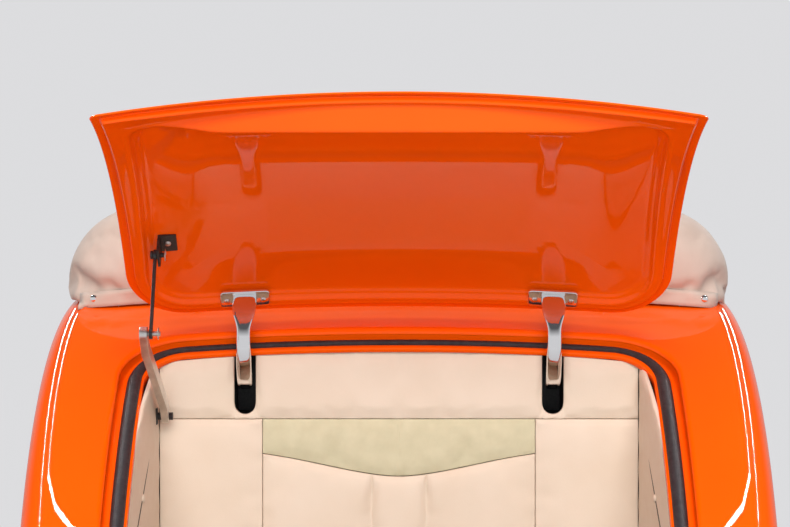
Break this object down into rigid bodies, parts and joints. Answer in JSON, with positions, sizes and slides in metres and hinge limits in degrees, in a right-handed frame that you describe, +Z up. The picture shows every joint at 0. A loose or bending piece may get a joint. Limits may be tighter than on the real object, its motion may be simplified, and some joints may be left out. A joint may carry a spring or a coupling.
{
  "type": "cabriolet tail section with hinged boot lid",
  "caption": "Rounded rear body section of a 1930s style cabriolet: lined boot, hinged lid held open by a power stay, rubber-sealed opening and folded hood under a canvas cover.",
  "frame": {"origin": "centre of the four chassis bolts, on the underside of the floor rails", "axes": "+X to the car's right, +Y forward, +Z up"},
  "size_m": [1.1518, 1.0134, 1.1005],
  "materials": {
    "body_paint": "high gloss",
    "seal_rubber": "matt",
    "painted_board": "satin black",
    "black_steel": "satin black",
    "cream_leather": "fine grain",
    "sage_suede": "suede",
    "beige_carpet": "short pile",
    "bright_steel": "brushed",
    "chrome": "polished",
    "tan_canvas": "woven"
  },
  "bodies": {
    "tail": {"deck_panel": "body_paint", "tail_panel": "body_paint", "quarter_panel_left": "body_paint", "quarter_panel_right": "body_paint", "opening_gutter": "body_paint", "boot_seal": "seal_rubber", "boot_floor": "painted_board", "seat_bulkhead": "painted_board", "boot_bulkhead": "painted_board", "floor_rail_left": "black_steel", "floor_rail_right": "black_steel", "trim_front_upper": "cream_leather", "trim_pad_left": "cream_leather", "trim_pad_right": "cream_leather", "trim_pad_centre": "cream_leather", "trim_insert": "sage_suede", "trim_side_left": "cream_leather", "trim_side_right": "cream_leather", "trim_tail_lining": "cream_leather", "boot_carpet": "beige_carpet", "hinge_pocket_left": "black_steel", "hinge_pocket_right": "black_steel", "hinge_pin_left": "bright_steel", "hinge_pin_right": "bright_steel", "stay_drive_mount": "black_steel", "hood_cover": "tan_canvas"},
    "lid": {"lid_skin": "body_paint", "lid_inner_panel": "body_paint", "hinge_arm_left": "chrome", "hinge_arm_right": "chrome", "stay_lid_bracket": "black_steel"},
    "stay_arm": {"stay_arm": "bright_steel"},
    "stay_link": {"stay_link": "black_steel"}
  },
  "joints": [
    {"name": "lid_hinge", "type": "hinge", "parent": "tail", "child": "lid", "pos_m": [0, 0.045, 0.722], "axis": [1, 0, 0], "range_deg": [0, 74]},
    {"name": "stay_arm_pivot", "type": "hinge", "parent": "tail", "child": "stay_arm", "pos_m": [0, -0.025, 0.604], "axis": [1, 0, 0], "range_deg": [0, 74]},
    {"name": "stay_link_pivot", "type": "hinge", "parent": "lid", "child": "stay_link", "pos_m": [0, -0.10774, 0.86201], "axis": [1, 0, 0], "range_deg": [-74, 0]}
  ],
  "couplings": [
    {"joint": "stay_arm_pivot", "follows": "lid_hinge", "ratio": 1},
    {"joint": "stay_link_pivot", "follows": "lid_hinge", "ratio": -1}
  ]
}
